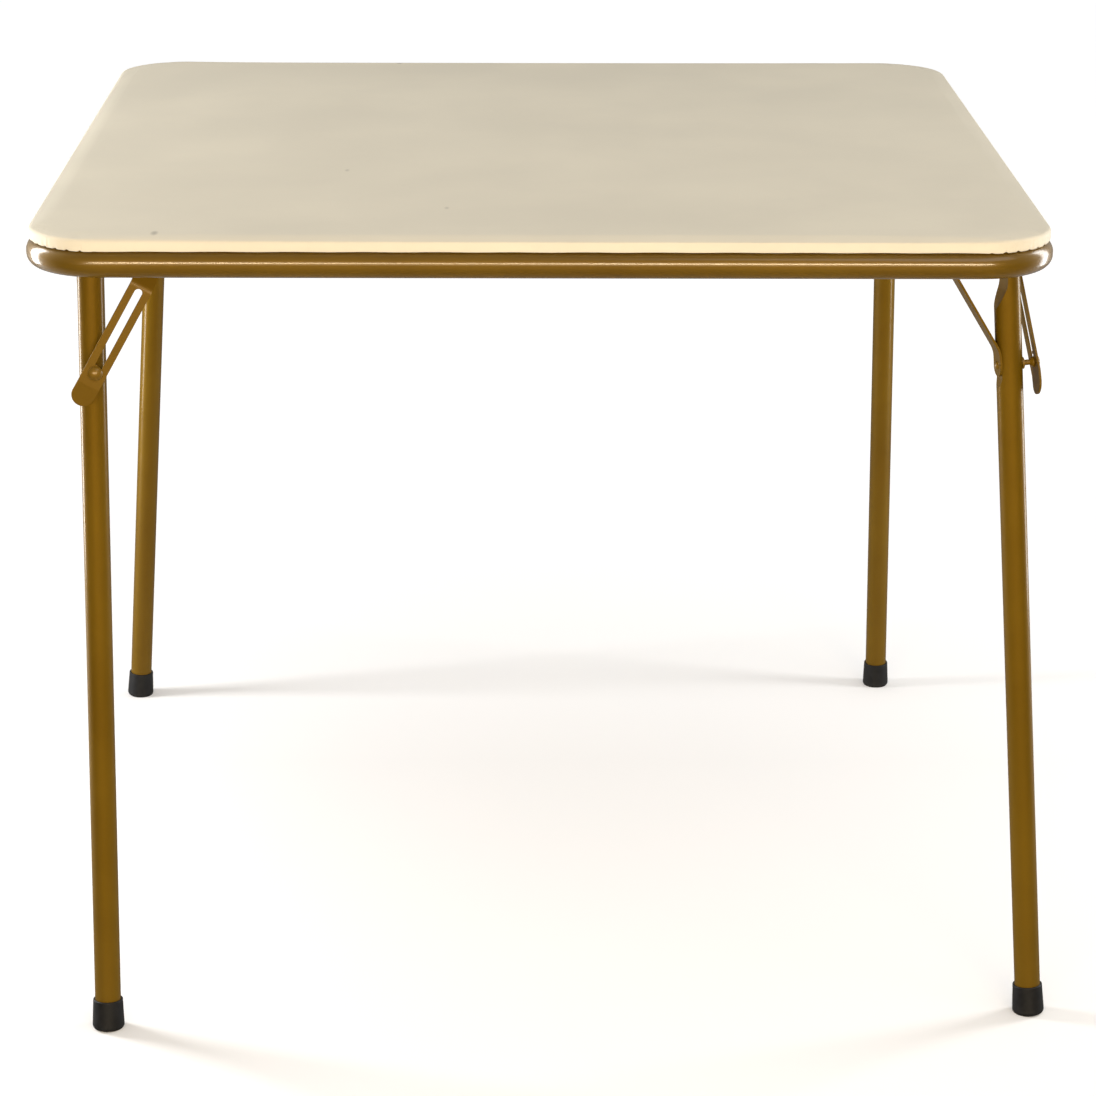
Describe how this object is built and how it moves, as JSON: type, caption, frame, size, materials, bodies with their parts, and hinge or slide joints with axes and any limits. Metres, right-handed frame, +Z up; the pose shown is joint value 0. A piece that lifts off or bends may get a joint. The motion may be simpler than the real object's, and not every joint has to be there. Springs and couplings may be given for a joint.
{
  "type": "folding card table",
  "caption": "Square folding table with a padded vinyl top, a steel rail ring and round steel legs that fold flat into the rail on slotted locking straps.",
  "frame": {"origin": "on the floor, under the middle of the top", "axes": "+Z up, normal to the tabletop; +X to the right and +Y to the back, along the sides of the top"},
  "size_m": [0.9084, 0.9131, 0.7112],
  "materials": {
    "cover_vinyl": "cream vinyl, fine matte texture",
    "pad_foam": "plain foam",
    "panel_board": "brown hardboard",
    "rail_paint": "gold-brown satin metallic paint",
    "leg_paint": "gold-brown satin metallic paint",
    "fold_paint": "gold-brown satin paint, worn at the edges",
    "pin_paint": "gold-brown satin paint",
    "rivet_steel": "zinc plated",
    "screw_steel": "zinc plated",
    "staple_steel": "galvanised wire",
    "cap_rubber": "black moulded rubber"
  },
  "bodies": {
    "top": {"vinyl_cover": "cover_vinyl", "foam_pad": "pad_foam", "top_board": "panel_board", "rail_ring": "rail_paint", "corner_bracket_front_left": "fold_paint", "corner_bracket_front_right": "fold_paint", "corner_bracket_back_right": "fold_paint", "corner_bracket_back_left": "fold_paint", "leg_pivot_rivets": "fold_paint", "strap_pivot_rivets": "fold_paint", "stay_pivot_rivets": "fold_paint", "bracket_rivets": "rivet_steel", "panel_screws": "screw_steel", "hem_staples": "staple_steel"},
    "leg_front_left": {"leg_tube_front_left": "leg_paint", "foot_cap_front_left": "cap_rubber", "side_stay_front_left": "fold_paint", "leg_rivet_front_left": "pin_paint"},
    "strap_front_left": {"slotted_strap_front_left": "fold_paint"},
    "pin_front_left": {"guide_pin_front_left": "pin_paint"},
    "leg_front_right": {"leg_tube_front_right": "leg_paint", "foot_cap_front_right": "cap_rubber", "side_stay_front_right": "fold_paint", "leg_rivet_front_right": "pin_paint"},
    "strap_front_right": {"slotted_strap_front_right": "fold_paint"},
    "pin_front_right": {"guide_pin_front_right": "pin_paint"},
    "leg_back_right": {"leg_tube_back_right": "leg_paint", "foot_cap_back_right": "cap_rubber", "side_stay_back_right": "fold_paint", "leg_rivet_back_right": "pin_paint"},
    "strap_back_right": {"slotted_strap_back_right": "fold_paint"},
    "pin_back_right": {"guide_pin_back_right": "pin_paint"},
    "leg_back_left": {"leg_tube_back_left": "leg_paint", "foot_cap_back_left": "cap_rubber", "side_stay_back_left": "fold_paint", "leg_rivet_back_left": "pin_paint"},
    "strap_back_left": {"slotted_strap_back_left": "fold_paint"},
    "pin_back_left": {"guide_pin_back_left": "pin_paint"}
  },
  "joints": [
    {"name": "leg_fold_front_left", "type": "hinge", "parent": "top", "child": "leg_front_left", "pos_m": [-0.3777, -0.3938, 0.6842], "axis": [0.1989, -0.9776, 0.0689], "range_deg": [0, 91.1]},
    {"name": "strap_swing_front_left", "type": "hinge", "parent": "top", "child": "strap_front_left", "pos_m": [-0.32599, -0.38314, 0.68619], "axis": [0.1989, -0.9776, 0.0689], "range_deg": [0, 117.13]},
    {"name": "pin_slide_front_left", "type": "slide", "parent": "strap_front_left", "child": "pin_front_left", "axis": [-0.4836, -0.159, -0.8607], "range_m": [-0.06954, 0]},
    {"name": "leg_fold_front_right", "type": "hinge", "parent": "top", "child": "leg_front_right", "pos_m": [0.3938, -0.3777, 0.6842], "axis": [0.9783, 0.199, 0.0584], "range_deg": [0, 93.55]},
    {"name": "strap_swing_front_right", "type": "hinge", "parent": "top", "child": "strap_front_right", "pos_m": [0.38316, -0.32598, 0.6862], "axis": [0.9783, 0.199, 0.0584], "range_deg": [0, 118.93]},
    {"name": "pin_slide_front_right", "type": "slide", "parent": "strap_front_right", "child": "pin_front_right", "axis": [0.1546, -0.5119, -0.845], "range_m": [-0.07142, 0]},
    {"name": "leg_fold_back_right", "type": "hinge", "parent": "top", "child": "leg_back_right", "pos_m": [0.3777, 0.3938, 0.6842], "axis": [-0.1989, 0.9778, 0.0654], "range_deg": [0, 92.05]},
    {"name": "strap_swing_back_right", "type": "hinge", "parent": "top", "child": "strap_back_right", "pos_m": [0.32599, 0.38315, 0.6862], "axis": [-0.1989, 0.9778, 0.0654], "range_deg": [0, 117.83]},
    {"name": "pin_slide_back_right", "type": "slide", "parent": "strap_back_right", "child": "pin_back_right", "axis": [0.4946, 0.1578, -0.8547], "range_m": [-0.07027, 0]},
    {"name": "leg_fold_back_left", "type": "hinge", "parent": "top", "child": "leg_back_left", "pos_m": [-0.3938, 0.3777, 0.6842], "axis": [-0.9784, -0.1991, 0.0558], "range_deg": [0, 93.3]},
    {"name": "strap_swing_back_left", "type": "hinge", "parent": "top", "child": "strap_back_left", "pos_m": [-0.38316, 0.32598, 0.6862], "axis": [-0.9784, -0.1991, 0.0558], "range_deg": [0, 118.74]},
    {"name": "pin_slide_back_left", "type": "slide", "parent": "strap_back_left", "child": "pin_back_left", "axis": [-0.152, 0.5097, -0.8468], "range_m": [-0.07123, 0]}
  ],
  "couplings": [
    {"joint": "strap_swing_front_left", "follows": "leg_fold_front_left", "ratio": 1.2856},
    {"joint": "pin_slide_front_left", "follows": "leg_fold_front_left", "m_per_rad": -0.043703},
    {"joint": "strap_swing_front_right", "follows": "leg_fold_front_right", "ratio": 1.2712},
    {"joint": "pin_slide_front_right", "follows": "leg_fold_front_right", "m_per_rad": -0.043714},
    {"joint": "strap_swing_back_right", "follows": "leg_fold_back_right", "ratio": 1.2799},
    {"joint": "pin_slide_back_right", "follows": "leg_fold_back_right", "m_per_rad": -0.04371},
    {"joint": "strap_swing_back_left", "follows": "leg_fold_back_left", "ratio": 1.2726},
    {"joint": "pin_slide_back_left", "follows": "leg_fold_back_left", "m_per_rad": -0.043714}
  ]
}
